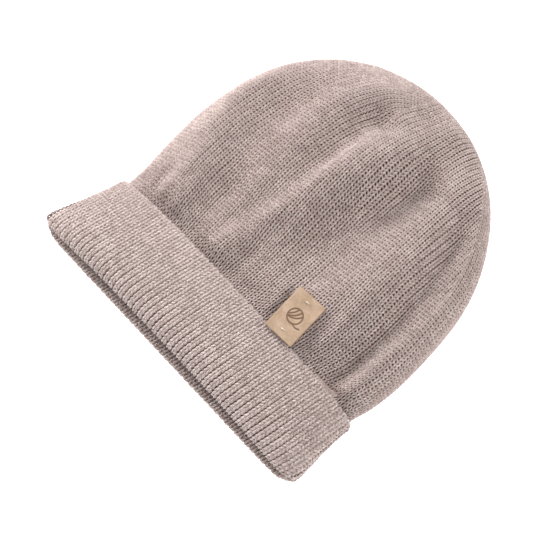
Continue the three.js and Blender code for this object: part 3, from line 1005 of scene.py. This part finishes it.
TAG_STEP = 0.22  # between two points of the tag's faces
TAG_EDGE_ROUND = 0.28
TAG_EDGE_DROP = 0.8  # of the edge's round
TAG_CORNER = 0.8
TAG_CORNER_PULL = 0.3
MARK_DEPTH = 0.22
MARK_LINE = 0.54
MARK_BLUR = 0.3
EDGE_TONE = 0.4  # how far the cut edge is darkened towards the burnt tone
EDGE_TONE_REACH = 0.5
# The mark: a ball of wool, its strands' shifts and arc, and its loose end
MARK_RADIUS = 4.2
MARK_DROP = 0.2
STRAND_SHIFTS = (-1.9, 0.4, 2.7)
STRAND_X, STRAND_Y, STRAND_RADIUS = -6.0, 5.4, 7.4
TAIL_HEIGHT, TAIL_BEND, TAIL_LENGTH = 0.3, 1.2, 6.4


def mark_distance(x, y):
    """Distance to the strokes of a small ball of wool: a ring with three strands across it."""
    y = y + MARK_DROP
    from_centre = np.hypot(x, y)
    away = np.abs(from_centre - MARK_RADIUS)
    for shift in STRAND_SHIFTS:
        arc = np.abs(np.hypot(x - STRAND_X - shift, y - STRAND_Y) - STRAND_RADIUS)
        away = np.where(from_centre < MARK_RADIUS, np.minimum(away, arc), away)
    tail = np.abs(y + MARK_RADIUS - TAIL_HEIGHT * np.sin(x * TAIL_BEND))
    by_tail = (x > 0) & (x < TAIL_LENGTH) & (y < 0)
    return np.where(by_tail, np.minimum(away, tail), away)


def tag_piece():
    """The tag with rounded edges and corners, its mark burnt into the outer face."""
    middle, (across, along, outward), (wide, tall, thick) = tag_axes()
    xs = np.linspace(-wide / 2, wide / 2, int(wide / TAG_STEP) + 1)
    ys = np.linspace(-tall / 2, tall / 2, int(tall / TAG_STEP) + 1)
    x, y = np.meshgrid(xs, ys)
    inset = np.minimum(wide / 2 - np.abs(x), tall / 2 - np.abs(y))
    edge = 1 - smooth_step(inset / (TAG_EDGE_ROUND * 2))
    round_off = TAG_EDGE_ROUND * edge * TAG_EDGE_DROP
    past_x = np.maximum(np.abs(x) - wide / 2 + TAG_CORNER, 0)
    past_y = np.maximum(np.abs(y) - tall / 2 + TAG_CORNER, 0)
    corner = np.maximum(0, np.hypot(past_x, past_y) - TAG_CORNER)
    burn = 1 - smooth_step((mark_distance(x, y) - MARK_LINE / 2) / MARK_BLUR)
    top = thick / 2 - round_off - MARK_DEPTH * burn
    bottom = -thick / 2 + round_off
    scale_in = 1 - TAG_CORNER_PULL * corner / np.maximum(np.hypot(x, y), TINY)
    px, py = x * scale_in, y * scale_in

    def placed(z):
        return middle + px[..., None] * across + py[..., None] * along + z[..., None] * outward

    rows, columns = x.shape
    points = np.concatenate([placed(top).reshape(-1, 3), placed(bottom).reshape(-1, 3)])
    count = rows * columns
    faces = []
    for r in range(rows - 1):
        for c in range(columns - 1):
            a = r * columns + c
            quad = (a, a + 1, a + 1 + columns, a + columns)
            faces.append(quad)
            faces.append(tuple(count + i for i in reversed(quad)))
    border = (
        list(range(columns))
        + [r * columns + columns - 1 for r in range(1, rows)]
        + [(rows - 1) * columns + c for c in range(columns - 2, -1, -1)]
        + [r * columns for r in range(rows - 2, 0, -1)]
    )
    for a, b in zip(border, border[1:] + border[:1]):
        faces.append((a, a + count, b + count, b))
    piece = new_piece("leather_tag", points, faces, leather_material())
    cut = EDGE_TONE * (1 - smooth_step(inset / EDGE_TONE_REACH))
    tone = np.maximum(burn, cut)
    number_attribute(piece.data, "burn", np.concatenate([tone.ravel(), cut.ravel()]))
    return piece


tag = tag_piece()


# Bodies and replaced nodes

for piece in crown_pieces:
    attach(piece, "root")
    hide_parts("crown")
for piece in cuff_pieces:
    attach(piece, "root")
    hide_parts("cuff")
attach(tag, "root")
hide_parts("label")


# Floor, light and camera


FLOOR_REACH = 3000.0
FLOOR_GLOW = 1.05


def floor():
    material, make = new_material("pale floor")
    shader = make.add(
        "ShaderNodeBsdfPrincipled",
        inputs={
            "Base Color": (0.93, 0.93, 0.93, 1.0),
            "Roughness": 0.9,
            "Specular IOR Level": 0.1,
            "Emission Color": (1.0, 1.0, 1.0, 1.0),
            "Emission Strength": FLOOR_GLOW,
        },
        output="BSDF",
    )
    surface_output(make, shader)
    square = ((-1, -1), (1, -1), (1, 1), (-1, 1))
    corners = [(x * FLOOR_REACH, y * FLOOR_REACH, 0) for x, y in square]
    return new_piece("floor", corners, [(0, 1, 2, 3)], material, smooth=False)


floor()

CAMERA_AZIMUTH = math.radians(48.5)
CAMERA_ELEVATION = math.radians(68.0)
CAMERA_DISTANCE = 0.8
CAMERA_AIM = Vector((0.00718, -0.03332, 0.020))
PIXELS_PER_MM = 1.86
PHOTO_PIXELS = 540
SENSOR_MM = 36.0


def camera_axes():
    back = Vector(
        (
            math.sin(CAMERA_AZIMUTH) * math.cos(CAMERA_ELEVATION),
            -math.cos(CAMERA_AZIMUTH) * math.cos(CAMERA_ELEVATION),
            math.sin(CAMERA_ELEVATION),
        )
    )
    right = Vector((math.cos(CAMERA_AZIMUTH), math.sin(CAMERA_AZIMUTH), 0))
    return right, back.cross(right), back


right, up, back = camera_axes()
camera_data = bpy.data.cameras.new("camera")
camera_data.sensor_width = SENSOR_MM
camera_data.lens = PIXELS_PER_MM * CAMERA_DISTANCE / MM / PHOTO_PIXELS * SENSOR_MM
camera = bpy.data.objects.new("camera", camera_data)
bpy.context.scene.collection.objects.link(camera)
turned = Matrix((right, up, back)).transposed().to_4x4()
camera.matrix_world = Matrix.Translation(CAMERA_AIM + back * CAMERA_DISTANCE) @ turned
bpy.context.scene.camera = camera


# name, place, size, power
LIGHTS = (
    ("key from the left", (-1.04, -0.05, 0.62), 0.7, 19.0),
    ("fill from above", (0, 0, 1.2), 0.9, 5.0),
    ("fill from the right", (0.8, 0.5, 0.76), 0.7, 8.0),
)
LIGHT_AIM = Vector((0, 0, 0.02))
WORLD_STRENGTH = 0.3

for light_name, place, size, power in LIGHTS:
    light_data = bpy.data.lights.new(light_name, "AREA")
    light_data.shape = "DISK"
    light_data.size = size
    light_data.energy = power
    light = bpy.data.objects.new(light_name, light_data)
    light.location = place
    light.rotation_euler = (LIGHT_AIM - Vector(place)).to_track_quat("-Z", "Y").to_euler()
    bpy.context.scene.collection.objects.link(light)

world = bpy.data.worlds.new("studio")
world.use_nodes = True
backdrop = world.node_tree.nodes["Background"]
backdrop.inputs["Color"].default_value = (1, 1, 1, 1)
backdrop.inputs["Strength"].default_value = WORLD_STRENGTH
bpy.context.scene.world = world
bpy.context.scene.view_settings.view_transform = "Standard"
